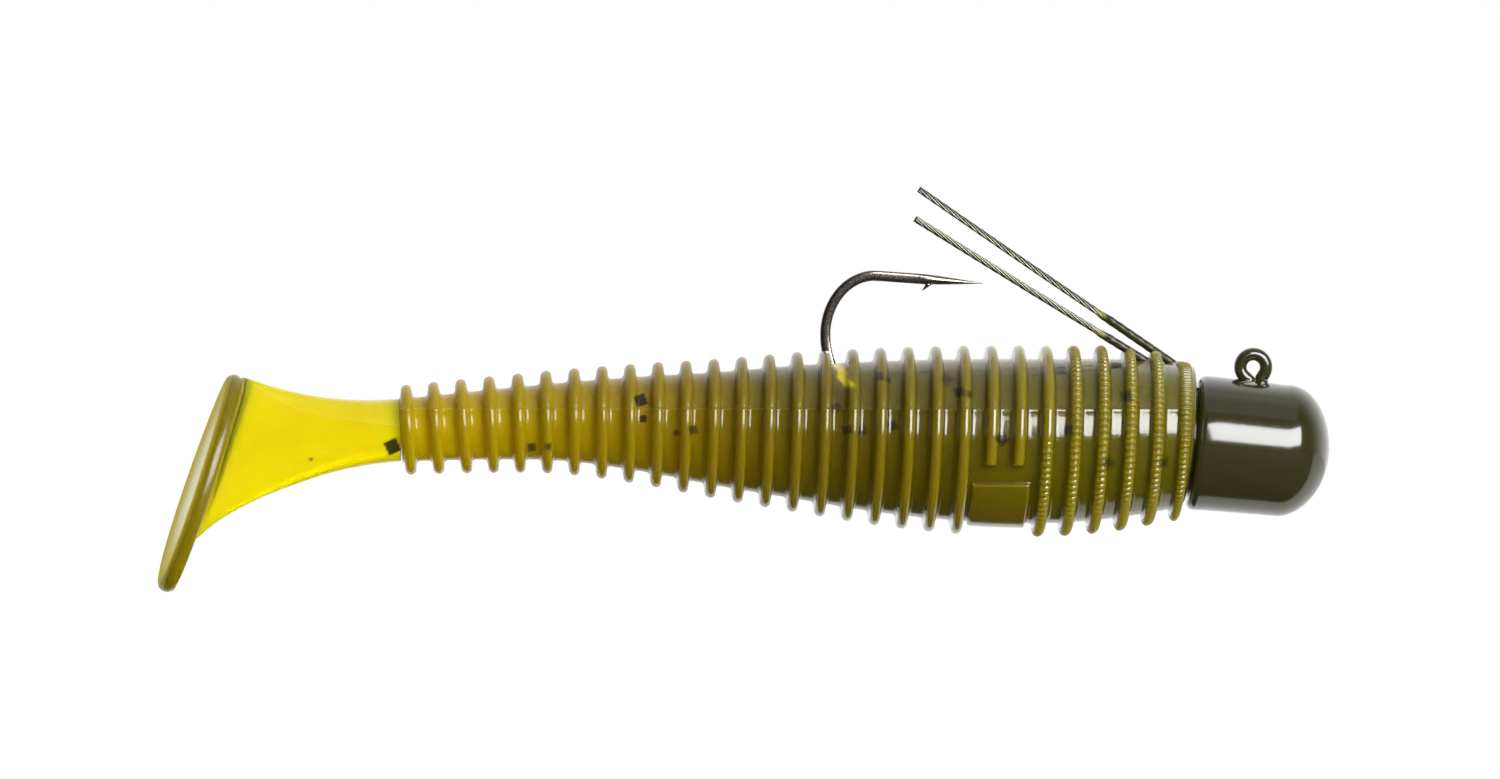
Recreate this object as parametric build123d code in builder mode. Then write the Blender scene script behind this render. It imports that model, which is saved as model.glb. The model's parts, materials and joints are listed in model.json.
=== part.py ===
from build123d import *
import os
from math import cos, radians, sin

# Ribbed paddle-tail swimbait, ready rigged on a bullet jig head with two stranded-wire weed guards.
# Millimetres. +X points to the nose, +Z to the back (the hook-point side), +Y to the lure's left.
# The origin is the centre of the line-tie eye.

# --- Soft body: a round core with disc ribs ---
CORE_STATIONS = [  # (x, core radius, height of the core's centre), tail to head
    (-62.9, 2.27, -4.64),
    (-57.0, 2.51, -4.27),
    (-51.2, 2.84, -4.02),
    (-45.5, 3.43, -4.16),
    (-39.6, 4.16, -4.53),
    (-33.4, 4.94, -4.79),
    (-27.5, 5.56, -5.12),
    (-21.8, 5.93, -5.34),
    (-14.9, 6.04, -5.45),
    (-9.5, 5.80, -5.25),
    (-4.8, 5.10, -5.15),
]
RIB_COUNT = 29
RIB_FIRST_X = -62.35
RIB_PITCH = 2.03
RIB_THICKNESS = 0.85
RIB_HEIGHT = 1.0
RIB_HEIGHT_AT_FRONT = (0.80, 0.65)  # the last two ribs are lower
RIB_LEAN_TAIL, RIB_LEAN_HEAD = -3.5, 3.0  # degrees, positive with the top towards the head

FRONT_FACE_X = CORE_STATIONS[-1][0]
BODY_FLEX_FRONT_X, BODY_FLEX_REAR_X = -41.24, -47.33  # the stretch that bends with the body
STALK_FLEX_FRONT_X, STALK_FLEX_REAR_X = -62.9, -68.5  # the stretch that bends with the tail

PANEL_REAR_X, PANEL_FRONT_X = -21.1, -16.6  # plain raised panel wrapped round the belly
PANEL_TOP_Z = -8.6
PANEL_RADIUS = 6.38

# --- Stalk and paddle ---
STALK_REAR_HEIGHT, STALK_REAR_WIDTH, STALK_REAR_Z = 5.8, 3.3, -5.03
FIN_X, FIN_HEIGHT, FIN_WIDTH, FIN_Z = -72.0, 7.8, 2.2, -5.43
ROOT_HEIGHT, ROOT_WIDTH, ROOT_OFFSET = 11.0, 1.8, 2.0  # where the stalk meets the paddle
PADDLE_CENTRE = (-77.65, 0, -8.55)
PADDLE_LEAN, PADDLE_YAW = 18.5, 7.0
PADDLE_THICKNESS = 1.25
PADDLE_TOP_RADIUS, PADDLE_BOTTOM_RADIUS = 3.2, 5.5
PADDLE_TOP_OFFSET, PADDLE_BOTTOM_OFFSET = 5.2, -2.9

# --- Head, neck and keeper, one lead casting ---
HEAD_REAR = (-4.05, 0, -5.56)  # centre of the rear face
HEAD_TILT = 4.0  # degrees, nose down
HEAD_RADIUS = 4.90
HEAD_BARREL = 6.15
HEAD_DOME = 3.54
HEAD_EDGE = 0.75
NECK_RADIUS = 4.0
KEEPER_END_X = -14.5
KEEPER_RADIUS = 1.30
KEEPER_BARB_RADIUS = 2.05
KEEPER_BARB_LENGTH = 2.4
KEEPER_BARBS_X = (-8.2, -12.0)  # where each barb's sharp edge stands

# --- Hook, forged from one wire ---
WIRE_RADIUS = 0.40
EYE_RADIUS, EYE_WIRE_RADIUS = 0.93, 0.45
SHANK_Z = -3.90
HOOK_REAR_X = -31.65
HOOK_TOP_Z = 6.745
STEM_BEND, LOWER_BEND, UPPER_BEND = 1.20, 6.26, 3.60
TAPER_START_X, TIP_X, TIP_Z = -24.3, -20.0, 6.17
TIP_RADIUS = 0.05
FORGED_HALF_WIDTH = 0.33
FORGED_FROM_X = -23.0
BARB_ROOT_X, BARB_LENGTH, BARB_DEPTH = -23.75, 0.85, 0.42

# --- Weed guards: seven-strand wires, dipped in paint up to where they bend ---
STRAND_RADIUS = 0.068
LAY_RADIUS = 0.152
LAY_PITCH = 3.2
GUARD_RADIUS = LAY_RADIUS + STRAND_RADIUS
SLEEVE_RADIUS = 0.31
GUARD_SPLAY = 6.0
GUARD_OFFSET_Y = 0.60  # from the middle plane to each guard, where it leaves the head
GUARD_ROOT_X = -2.2
GUARD_GAP = 0.12  # bare core between the fixed root and the stretch that swings
GUARDS = {  # side of the middle plane, rise in degrees, bend point x and z, free length
    "left": (1, 34.6, -11.06, 3.57, 16.5),
    "right": (-1, 31.9, -11.40, 2.48, 16.2),
}

# --- Glitter: thin black squares just under the skin ---
FLAKE_SIDE, FLAKE_THICKNESS, FLAKE_DEPTH = 0.62, 0.06, 0.35
FLAKES_FRONT = [  # (x between two ribs, degrees round the core from the lure's left side)
    (-31.05, 172), (-29.0, 190), (-27.0, 146), (-26.95, 174), (-22.9, 151),
    (-20.9, 160), (-18.85, 176), (-14.8, 140), (-14.75, 172), (-10.7, 138),
    (-12.7, 200), (-6.65, 194), (-33.1, 20), (-24.95, 8), (-16.8, 35), (-8.7, -10),
]
FLAKES_REAR = [(-62.0, 165), (-53.2, 190), (-51.2, 175), (-49.2, 12), (-55.3, 28)]


def between(left, right, share):
    return left + (right - left) * share


def core_at(x):
    """Core radius and centre height at x, on a smooth curve through the stations."""
    last = len(CORE_STATIONS) - 2
    i = min(last, sum(1 for station in CORE_STATIONS[1:-1] if station[0] < x))
    before, a, b, after = (
        CORE_STATIONS[min(max(k, 0), last + 1)] for k in (i - 1, i, i + 1, i + 2)
    )
    t = (x - a[0]) / (b[0] - a[0])
    found = []
    for value in (1, 2):
        slope_a = (b[value] - before[value]) / (b[0] - before[0]) * (b[0] - a[0])
        slope_b = (after[value] - a[value]) / (after[0] - a[0]) * (b[0] - a[0])
        found.append(
            (2 * t**3 - 3 * t**2 + 1) * a[value]
            + (t**3 - 2 * t**2 + t) * slope_a
            + (3 * t**2 - 2 * t**3) * b[value]
            + (t**3 - t**2) * slope_b
        )
    return found


def across(x, z, lean=0.0):
    """A plane across the body at x, with its normal to the head; a lean tips its top to the head."""
    normal = (cos(radians(lean)), 0, -sin(radians(lean)))
    return Plane(origin=(x, 0, z), x_dir=(0, 1, 0), z_dir=normal)


def ribbed_section(rear_x, front_x):
    """Adds the core from rear_x to front_x and the ribs that stand on it to the open part."""
    inner = [s[0] for s in CORE_STATIONS if rear_x + 0.5 < s[0] < front_x - 0.5]
    sections = []
    for x in (rear_x, *inner, front_x):
        radius, z = core_at(x)
        with BuildSketch(across(x, z)) as section:
            Circle(radius)
        sections.append(section.sketch)
    loft(sections)
    for k in range(RIB_COUNT):
        x = RIB_FIRST_X + k * RIB_PITCH
        if rear_x < x < front_x:
            add_rib(k, x)


def add_rib(k, x):
    """Adds rib k: a disc with a full-round rim, revolved about its own axis."""
    core_radius, z = core_at(x)
    from_front = RIB_COUNT - 1 - k
    height = RIB_HEIGHT
    if from_front < len(RIB_HEIGHT_AT_FRONT):
        height = RIB_HEIGHT_AT_FRONT[-1 - from_front]
    rim = RIB_THICKNESS / 2
    reach = core_radius + height - rim
    lean = radians(between(RIB_LEAN_TAIL, RIB_LEAN_HEAD, k / (RIB_COUNT - 1)))
    axis_dir = Vector(cos(lean), 0, -sin(lean))
    with BuildSketch(Plane(origin=(x, 0, z), x_dir=axis_dir, z_dir=(0, -1, 0))) as profile:
        with Locations((0, reach / 2)):
            Rectangle(RIB_THICKNESS, reach)
        with Locations((0, reach)):
            Circle(rim)
    revolve(profile.sketch, axis=Axis((x, 0, z), axis_dir))


def stalk_section(x, z, width, height):
    with BuildSketch(across(x, z)) as section:
        Ellipse(width / 2, height / 2)
    return section.sketch


def guard_frame(name):
    """The guard's bend point, its direction from head to tip, and its length inside the root."""
    side, rise, bend_x, bend_z, _ = GUARDS[name]
    direction = Vector(
        -cos(radians(rise)) * cos(radians(GUARD_SPLAY)),
        side * cos(radians(rise)) * sin(radians(GUARD_SPLAY)),
        sin(radians(rise)),
    )
    root_length = (GUARD_ROOT_X - bend_x) / -direction.X
    bend_y = side * GUARD_OFFSET_Y + direction.Y * (HEAD_REAR[0] - bend_x) / -direction.X
    return Vector(bend_x, bend_y, bend_z), direction, root_length


def flakes(places):
    """Adds one square for each place, lying flat just under the core's skin."""
    for x, angle in places:
        radius, z = core_at(x)
        outward = Vector(0, cos(radians(angle)), sin(radians(angle)))
        centre = Vector(x, 0, z) + outward * (radius - FLAKE_DEPTH)
        turned = Vector(1, 0, 0).rotate(Axis((0, 0, 0), outward), 40 * x)
        with BuildSketch(Plane(origin=centre, x_dir=turned, z_dir=outward)) as square:
            Rectangle(FLAKE_SIDE, FLAKE_SIDE)
        extrude(square.sketch, amount=FLAKE_THICKNESS / 2, both=True)


def keeper(mode):
    """Adds or cuts the keeper: a rod round the hook's shank, with sharp-edged barbs that face the head."""
    with BuildSketch(Plane(origin=(0, 0, SHANK_Z), x_dir=(1, 0, 0), z_dir=(0, -1, 0))) as profile:
        with Locations(((FRONT_FACE_X + KEEPER_END_X) / 2, KEEPER_RADIUS / 2)):
            Rectangle(FRONT_FACE_X - KEEPER_END_X, KEEPER_RADIUS)
        for barb_x in KEEPER_BARBS_X:
            with BuildLine():
                Polyline(
                    (barb_x, KEEPER_RADIUS / 2),
                    (barb_x, KEEPER_BARB_RADIUS),
                    (barb_x - KEEPER_BARB_LENGTH, KEEPER_RADIUS),
                    (barb_x - KEEPER_BARB_LENGTH, KEEPER_RADIUS / 2),
                    close=True,
                )
            make_face()
    revolve(profile.sketch, axis=Axis((0, 0, SHANK_Z), (1, 0, 0)), mode=mode)


def write(builder, name):
    builder.part.label = name
    export_step(builder.part, f"parts/{name}.step")


os.makedirs("parts", exist_ok=True)

# --- Hook ---
upper_slope = (TIP_Z - HOOK_TOP_Z) / (TIP_X - HOOK_REAR_X)
taper_start = (TAPER_START_X, HOOK_TOP_Z + upper_slope * (TAPER_START_X - HOOK_REAR_X))
with BuildPart() as hook:
    with BuildLine(Plane.XZ) as wire_path:
        FilletPolyline(
            (0, -EYE_RADIUS),
            (0, SHANK_Z),
            (HOOK_REAR_X, SHANK_Z),
            (HOOK_REAR_X, HOOK_TOP_Z),
            taper_start,
            radius=[STEM_BEND, LOWER_BEND, UPPER_BEND],
        )
    with BuildSketch(Plane(origin=wire_path.line @ 0, z_dir=wire_path.line % 0)):
        Circle(WIRE_RADIUS)
    sweep(path=wire_path.line)

    point_dir = wire_path.line % 1
    with BuildSketch(Plane(origin=wire_path.line @ 1, z_dir=point_dir)):
        Circle(WIRE_RADIUS)
    with BuildSketch(Plane(origin=(TIP_X, 0, TIP_Z), z_dir=point_dir)):
        Circle(TIP_RADIUS)
    loft()

    with BuildSketch(Plane.XZ):
        barb_z = HOOK_TOP_Z + upper_slope * (BARB_ROOT_X - HOOK_REAR_X) - WIRE_RADIUS * 0.7
        with BuildLine():
            Polyline(
                (BARB_ROOT_X, barb_z),
                (BARB_ROOT_X - BARB_LENGTH, barb_z - BARB_DEPTH),
                (BARB_ROOT_X - BARB_LENGTH * 0.7, barb_z + WIRE_RADIUS),
                (BARB_ROOT_X, barb_z + WIRE_RADIUS),
                close=True,
            )
        make_face()
    extrude(amount=FORGED_HALF_WIDTH * 0.6, both=True)

    with Locations(Plane.XZ):
        Torus(EYE_RADIUS, EYE_WIRE_RADIUS)

    # The bend is forged: pressed flat on both sides, from behind the point round to the shank.
    bend_length = FORGED_FROM_X - HOOK_REAR_X + 2 * WIRE_RADIUS
    bend_height = HOOK_TOP_Z - SHANK_Z + 4 * WIRE_RADIUS
    for side in (1, -1):
        pressed = (
            FORGED_FROM_X - bend_length / 2,
            side * (FORGED_HALF_WIDTH + WIRE_RADIUS),
            (HOOK_TOP_Z + SHANK_Z) / 2,
        )
        with Locations(pressed):
            Box(bend_length, 2 * WIRE_RADIUS, bend_height, mode=Mode.SUBTRACT)
write(hook, "hook")

# --- Guards: fixed root, paint sleeve, core strand and six laid strands on each side ---
with BuildPart() as one_strand:
    longest = max(guard[4] for guard in GUARDS.values())
    with BuildLine() as lay:
        Helix(LAY_PITCH, longest, LAY_RADIUS)
    with BuildSketch(Plane(origin=lay.line @ 0, z_dir=lay.line % 0)):
        Circle(STRAND_RADIUS)
    sweep(path=lay.line, is_frenet=True)

guard_roots = {}
for name, (side, rise, bend_x, bend_z, free_length) in GUARDS.items():
    bend_point, direction, root_length = guard_frame(name)
    root_plane = Plane(origin=bend_point - direction * root_length, z_dir=direction)
    free_plane = Plane(origin=bend_point + direction * GUARD_GAP, z_dir=direction)

    with BuildPart() as guard_root:
        with BuildSketch(root_plane):
            Circle(GUARD_RADIUS)
        extrude(amount=root_length)
    guard_roots[name] = guard_root
    write(guard_root, f"guard_{name}_root")

    with BuildPart() as guard_core:
        with BuildSketch(free_plane):
            Circle(STRAND_RADIUS)
        extrude(amount=free_length)
    write(guard_core, f"guard_{name}_core")

    with BuildPart() as guard_strands:
        with Locations(free_plane):
            with PolarLocations(0, 6):
                add(one_strand.part)
    write(guard_strands, f"guard_{name}_strands")

# --- Head, neck and keeper ---
head_axis_dir = Vector(cos(radians(HEAD_TILT)), 0, -sin(radians(HEAD_TILT)))
head_plane = Plane(origin=HEAD_REAR, x_dir=head_axis_dir, z_dir=(0, -1, 0))
with BuildPart() as head_casting:
    with BuildSketch(head_plane):
        with BuildLine():
            Polyline((HEAD_BARREL + HEAD_DOME, 0), (0, 0), (0, HEAD_RADIUS - HEAD_EDGE))
            RadiusArc((0, HEAD_RADIUS - HEAD_EDGE), (HEAD_EDGE, HEAD_RADIUS), HEAD_EDGE)
            Line((HEAD_EDGE, HEAD_RADIUS), (HEAD_BARREL, HEAD_RADIUS))
            EllipticalCenterArc((HEAD_BARREL, 0), HEAD_DOME, HEAD_RADIUS, start_angle=0, arc_size=90)
        make_face()
    revolve(axis=Axis(HEAD_REAR, head_axis_dir))

    with BuildSketch(across(FRONT_FACE_X, HEAD_REAR[2])):
        Circle(NECK_RADIUS)
    extrude(amount=HEAD_REAR[0] - FRONT_FACE_X + HEAD_EDGE)

    keeper(Mode.ADD)

    add(hook.part, mode=Mode.SUBTRACT)
    for guard_root in guard_roots.values():
        add(guard_root.part, mode=Mode.SUBTRACT)
write(head_casting, "head_casting")

for name in GUARDS:
    bend_point, direction, root_length = guard_frame(name)
    with BuildPart() as guard_sleeve:
        with BuildSketch(Plane(origin=bend_point, z_dir=-direction)):
            Circle(SLEEVE_RADIUS)
            Circle(GUARD_RADIUS, mode=Mode.SUBTRACT)
        extrude(amount=root_length)
        add(head_casting.part, mode=Mode.SUBTRACT)
        with Locations((HEAD_REAR[0] + HEAD_BARREL, 0, 0)):
            Box(2 * HEAD_BARREL, 4 * HEAD_RADIUS, 4 * HEAD_RADIUS, mode=Mode.SUBTRACT)
    write(guard_sleeve, f"guard_{name}_sleeve")

# --- Soft body, in the sections that move against each other ---
with BuildPart() as glitter_front:
    flakes(FLAKES_FRONT)
write(glitter_front, "glitter_front")

with BuildPart() as glitter_rear:
    flakes(FLAKES_REAR)
write(glitter_rear, "glitter_rear")

with BuildPart() as body_front:
    ribbed_section(BODY_FLEX_FRONT_X, FRONT_FACE_X)
    with BuildSketch(Plane.YZ.offset(PANEL_REAR_X)):
        panel_x = (PANEL_REAR_X + PANEL_FRONT_X) / 2
        with Locations((0, core_at(panel_x)[1])):
            Circle(PANEL_RADIUS)
        with Locations((0, PANEL_TOP_Z)):
            Rectangle(
                4 * PANEL_RADIUS,
                4 * PANEL_RADIUS,
                align=(Align.CENTER, Align.MIN),
                mode=Mode.SUBTRACT,
            )
    extrude(amount=PANEL_FRONT_X - PANEL_REAR_X)
    keeper(Mode.SUBTRACT)
    add(hook.part, mode=Mode.SUBTRACT)
    for name in GUARDS:
        bend_point, direction, root_length = guard_frame(name)
        with BuildSketch(Plane(origin=bend_point, z_dir=-direction)):
            Circle(SLEEVE_RADIUS)
        extrude(amount=root_length, mode=Mode.SUBTRACT)
write(body_front, "body_front")

with BuildPart() as body_flex:
    ribbed_section(BODY_FLEX_REAR_X, BODY_FLEX_FRONT_X)
write(body_flex, "body_flex")

with BuildPart() as body_rear:
    ribbed_section(STALK_FLEX_FRONT_X, BODY_FLEX_REAR_X)
write(body_rear, "body_rear")

# --- Stalk and paddle ---
stalk_rear = stalk_section(
    STALK_FLEX_REAR_X, STALK_REAR_Z, STALK_REAR_WIDTH, STALK_REAR_HEIGHT
)
with BuildPart() as stalk_flex:
    root_radius, root_z = core_at(STALK_FLEX_FRONT_X)
    stalk_front = stalk_section(STALK_FLEX_FRONT_X, root_z, 2 * root_radius, 2 * root_radius)
    loft([stalk_rear, stalk_front])
write(stalk_flex, "stalk_flex")

paddle_up = Vector(sin(radians(PADDLE_LEAN)), 0, cos(radians(PADDLE_LEAN)))
paddle_side = Vector(0, 1, 0).rotate(Axis((0, 0, 0), paddle_up), PADDLE_YAW)
paddle_plane = Plane(
    origin=PADDLE_CENTRE, x_dir=paddle_side, z_dir=paddle_side.cross(paddle_up)
)
with BuildPart() as tail_paddle:
    with BuildSketch(paddle_plane):
        with Locations((0, PADDLE_TOP_OFFSET)):
            Circle(PADDLE_TOP_RADIUS)
        with Locations((0, PADDLE_BOTTOM_OFFSET)):
            Circle(PADDLE_BOTTOM_RADIUS)
        make_hull()
    extrude(amount=PADDLE_THICKNESS / 2, both=True)
    fillet(tail_paddle.edges().filter_by(GeomType.LINE, reverse=True), radius=0.4)
write(tail_paddle, "tail_paddle")

with BuildPart() as tail_fin:
    with BuildSketch(paddle_plane) as fin_root:
        with Locations((0, ROOT_OFFSET)):
            Ellipse(ROOT_WIDTH / 2, ROOT_HEIGHT / 2)
    loft([fin_root.sketch, stalk_section(FIN_X, FIN_Z, FIN_WIDTH, FIN_HEIGHT), stalk_rear])
    add(tail_paddle.part, mode=Mode.SUBTRACT)
write(tail_fin, "tail_fin")
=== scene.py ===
import json
import math
import bpy
import numpy as np
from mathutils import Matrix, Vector


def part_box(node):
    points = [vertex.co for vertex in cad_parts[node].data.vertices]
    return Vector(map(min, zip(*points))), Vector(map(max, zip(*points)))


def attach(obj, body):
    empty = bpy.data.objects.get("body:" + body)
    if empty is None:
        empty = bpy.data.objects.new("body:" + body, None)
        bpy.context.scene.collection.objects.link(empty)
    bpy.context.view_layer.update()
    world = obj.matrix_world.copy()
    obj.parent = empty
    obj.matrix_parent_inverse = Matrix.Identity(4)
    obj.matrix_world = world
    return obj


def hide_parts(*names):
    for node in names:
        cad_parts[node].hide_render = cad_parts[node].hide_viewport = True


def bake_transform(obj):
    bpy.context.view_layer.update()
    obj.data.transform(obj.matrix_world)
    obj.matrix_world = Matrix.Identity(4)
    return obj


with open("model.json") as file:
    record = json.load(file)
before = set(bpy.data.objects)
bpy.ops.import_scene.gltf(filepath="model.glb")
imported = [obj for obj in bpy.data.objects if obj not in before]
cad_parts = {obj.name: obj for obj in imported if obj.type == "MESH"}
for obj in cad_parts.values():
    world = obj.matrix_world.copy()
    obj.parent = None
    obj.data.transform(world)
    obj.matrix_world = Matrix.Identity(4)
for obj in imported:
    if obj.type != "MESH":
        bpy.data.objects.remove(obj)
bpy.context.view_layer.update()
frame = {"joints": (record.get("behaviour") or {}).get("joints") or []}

# Looks of the ribbed swimbait on its guarded jig head. Shapes are worked out in millimetres in the row
# frame and turned into metres when a mesh is made. +X is the nose, +Z the back, and the camera is on -Y.

MM = 0.001


def node_box(name):
    """A CAD node's lowest and highest corner, in millimetres."""
    low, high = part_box(name)
    return np.array(low) / MM, np.array(high) / MM


JOINTS = {joint["name"]: joint for joint in frame["joints"]}
FRONT_FACE_X = node_box("body_front")[1][0]
AROUND = 540  # points round the body

# --- The soft body's core: x, radius and height of its centre, tail to head ---
CORE = np.array([
    (-62.9, 2.27, -4.64), (-57.0, 2.51, -4.27), (-51.2, 2.84, -4.02), (-45.5, 3.43, -4.16),
    (-39.6, 4.16, -4.53), (-33.4, 4.94, -4.79), (-27.5, 5.56, -5.12), (-21.8, 5.93, -5.34),
    (-14.9, 6.04, -5.45), (-9.5, 5.80, -5.25), (-4.8, 5.10, -5.15),
])
LEAN = np.array([  # x and how far the ribs' tops lean to the head, in degrees
    (-62.4, -3.6), (-58.0, -4.2), (-54.0, -1.6), (-50.0, 0.0),
    (-42.0, 1.6), (-20.0, 2.6), (-5.6, 2.7), (-4.8, 5.5),
])
RIB_COUNT, RIB_FIRST_X, RIB_PITCH, RIB_HEIGHT = 29, -62.35, 2.03, 1.0
RIB_ROOT, RIB_RIM = 0.50, 0.40  # half thickness at the root and at the rim
LOW_RIBS = {27: (0.88, 0.06), 28: (0.68, 0.30)}  # height of the last two, and how much more below
PARTING_Z = -3.10  # where the two halves of the mould met
SEAM_HEIGHT, SEAM_HALF_WIDTH = 0.045, 0.07
LOWER_HALF_STEP = 0.035  # how much larger the lower half of the mould was
SWELL_HEIGHT, SWELL_REACH = 0.32, 0.75  # plastic pushed up where a guard comes out
BEADED_FROM, BEADS, BEAD_DEPTH = 24, 90, 0.22
HALF_BEADED_Z = (-5.0, -6.5)  # the rib before them is beaded only below this height
SPLIT_X = -62.93  # the tail was poured in a second colour and meets the body behind the last rib
# How far behind the front face the last ring is, and how far behind it other rings have to be
FRONT_GAP, FRONT_CLEAR = 0.10, 0.12
# The front's rounded edge: each ring's share of the last ring's size, and how far it is ahead of it
SHOULDER = ((0.97, 0.07), (0.90, 0.10), (0.55, 0.10), (0.15, 0.10))

# The plain panel, and the two ribs that stop above it
PANEL_X, PANEL_TOP_Z, PANEL_HEIGHT = (-21.0, -16.65), -8.4, 0.34
PANEL_EDGE = 0.16  # how wide its rounded edge is
SHORT_RIBS, SHORT_RIB_END_Z = (21, 22), -6.85

# Flakes on the camera's side: x, z, half side, turn in degrees, softness of the edge
FLAKES = [
    (-63.5, -5.85, 0.46, 25, 0.12), (-69.5, -6.80, 0.11, 10, 0.3), (-45.30, -2.45, 0.38, 22, 0.1),
    (-45.15, -3.80, 0.24, 5, 0.2), (-53.3, -5.90, 0.28, 8, 0.35), (-52.1, -5.85, 0.22, 0, 0.5),
    (-41.5, -4.60, 0.30, 12, 0.4), (-42.75, -4.85, 0.18, 30, 0.6), (-31.0, -2.95, 0.30, 40, 0.5),
    (-30.3, -4.60, 0.28, 15, 0.4), (-29.2, -4.65, 0.30, 5, 0.5), (-27.85, -0.70, 0.28, 0, 0.4),
    (-27.20, -0.95, 0.20, 0, 0.4), (-27.0, -4.30, 0.34, 20, 0.4), (-22.9, -0.90, 0.34, 45, 0.5),
    (-22.1, -1.85, 0.30, 10, 0.3), (-21.35, -2.0, 0.22, 0, 0.4), (-19.0, -5.25, 0.40, 40, 0.35),
    (-14.5, -0.15, 0.36, 0, 0.3), (-10.5, 0.12, 0.26, 0, 0.4), (-14.3, -4.60, 0.36, 10, 0.4),
    (-9.9, -2.15, 0.34, 5, 0.4), (-11.2, -7.0, 0.36, 40, 0.6), (-7.1, -7.0, 0.32, 0, 0.6),
]
FLAKE_SPREAD = 1.12
HIDDEN_FLAKES, HIDDEN_FLAKE_SEED, HIDDEN_FLAKE_X = 26, 7, (-61, -6)
HIDDEN_FLAKE_DEPTH = 1.3  # so that a flake doesn't show on the far side too
# The hook's bend, seen dimly through the plastic and painted on as painted shade, and the torn plastic
# beside it.
# Each is x, z, half width and half height.
BEND_SHADOW = (-31.0, -2.2, 0.42, 0.95)
BEND_SHADE = 0.42
TORN = (-30.7, -0.55, 0.55, 1.15)

# --- Stalk: share of its length, top x and z, bottom x and z, width; then the paddle's frame ---
STALK = np.array([
    (0.00, -62.90, -2.36, -62.90, -6.92, 4.56), (0.20, -65.50, -2.44, -65.30, -7.20, 4.20),
    (0.42, -68.20, -2.28, -68.20, -7.82, 3.50), (0.62, -70.60, -1.88, -71.30, -8.87, 2.80),
    (0.80, -72.60, -1.36, -73.90, -9.95, 2.35), (0.93, -73.85, -0.95, -76.20, -11.25, 2.08),
    (1.00, -74.40, -0.78, -77.25, -12.05, 2.00),
])
# The line along the top of the stalk's flat side
FACET_X = (-74.4, -72.4, -70.6, -68.0, -63.0)
FACET_Z = (-0.9, -2.1, -3.1, -3.8, -4.35)
PADDLE_CENTRE = np.array((-77.65, 0.0, -8.55))
PADDLE_LEAN, PADDLE_YAW = math.radians(18.5), math.radians(7.0)
PADDLE_HALF_HEIGHT, PADDLE_HALF_WIDTH, PADDLE_HALF_THICKNESS = 8.40, 5.40, 0.62
PADDLE_TAPER, PADDLE_CUP = 0.20, 0.28
ROOT_MIDDLE, ROOT_HALF_HEIGHT, ROOT_HALF_WIDTH, ROOT_FILLET = 2.08, 5.98, 1.0, 0.70
ROOT_FLARE, ROOT_DROP = 1.15, 0.30  # how much the root widens onto the paddle, and drops at its lower end
ROOT_SPREAD_BELOW, ROOT_SPREAD_ABOVE = 1.1, 0.15
STALK_RINGS = 84
# Rings of the paddle, each with its painted shade last. Over the root's fillet: the share of the way
ROOT_RINGS = ((0.0, 0.2), (0.25, 0.35), (0.5, 0.5), (0.72, 0.6), (0.88, 0.65), (1.0, 0.7))
# From the root to the rim: the share of the way, and how far the ring sinks
BLADE_RINGS = ((0.3, 0.0, 0.75), (0.6, 0.01, 0.8), (0.82, 0.04, 0.85), (0.93, 0.10, 0.95))
# Round the rim: the angle in degrees
RIM_RINGS = list(zip(np.linspace(40, -90, 10), [1.0] * 6 + [0.8, 0.6, 0.4, 0.2]))
# In the cup, only the shares of its size, since just its edge has painted shade
CUP_RINGS = (0.86, 0.78, 0.66, 0.5, 0.3, 0.12)


def smooth(low, high, value):
    """0 up to low and 1 from high, with a soft start and stop. It falls where low is the larger."""
    t = np.clip((value - low) / (high - low), 0, 1)
    return t * t * (3 - 2 * t)


def curve_through(table, x):
    """Each column of the table at x, on a smooth curve through its rows."""
    x = np.atleast_1d(np.asarray(x, float))
    xs = table[:, 0]
    i = np.clip(np.searchsorted(xs, x) - 1, 0, len(xs) - 2)
    before, after = np.clip(i - 1, 0, None), np.clip(i + 2, None, len(xs) - 1)
    step = (xs[i + 1] - xs[i])[:, None]
    t = ((x - xs[i]) / (xs[i + 1] - xs[i]))[:, None]
    values = table[:, 1:]
    slope_a = (values[i + 1] - values[before]) / (xs[i + 1] - xs[before])[:, None] * step
    slope_b = (values[after] - values[i]) / (xs[after] - xs[i])[:, None] * step
    return (
        (2 * t**3 - 3 * t**2 + 1) * values[i] + (t**3 - 2 * t**2 + t) * slope_a
        + (3 * t**2 - 2 * t**3) * values[i + 1] + (t**3 - t**2) * slope_b
    )


# --- Meshes ---
def mesh_piece(name, points, faces, attributes=None):
    """An object from points in millimetres. "rest" keeps each point's place, so colours follow a pose."""
    mesh = bpy.data.meshes.new(name)
    mesh.from_pydata((points * MM).tolist(), [], faces)
    mesh.polygons.foreach_set("use_smooth", [True] * len(mesh.polygons))
    rest = mesh.attributes.new("rest", "FLOAT_VECTOR", "POINT")
    rest.data.foreach_set("vector", points.astype(np.float32).ravel())
    for key, values in (attributes or {}).items():
        made = mesh.attributes.new(key, "FLOAT", "POINT")
        made.data.foreach_set("value", np.asarray(values, np.float32))
    mesh.update()
    piece = bpy.data.objects.new(name, mesh)
    bpy.context.scene.collection.objects.link(piece)
    return piece


def ring_faces(rings, around, offset=0):
    """Quads between closed rings of points, with a fan at each end to a centre point that follows them."""
    faces = []
    for r in range(rings - 1):
        a, b = offset + r * around, offset + (r + 1) * around
        faces += [(a + k, a + (k + 1) % around, b + (k + 1) % around, b + k) for k in range(around)]
    first, last = offset + rings * around, offset + rings * around + 1
    end = offset + (rings - 1) * around
    faces += [(first, offset + (k + 1) % around, offset + k) for k in range(around)]
    faces += [(last, end + k, end + (k + 1) % around) for k in range(around)]
    return faces


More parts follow.
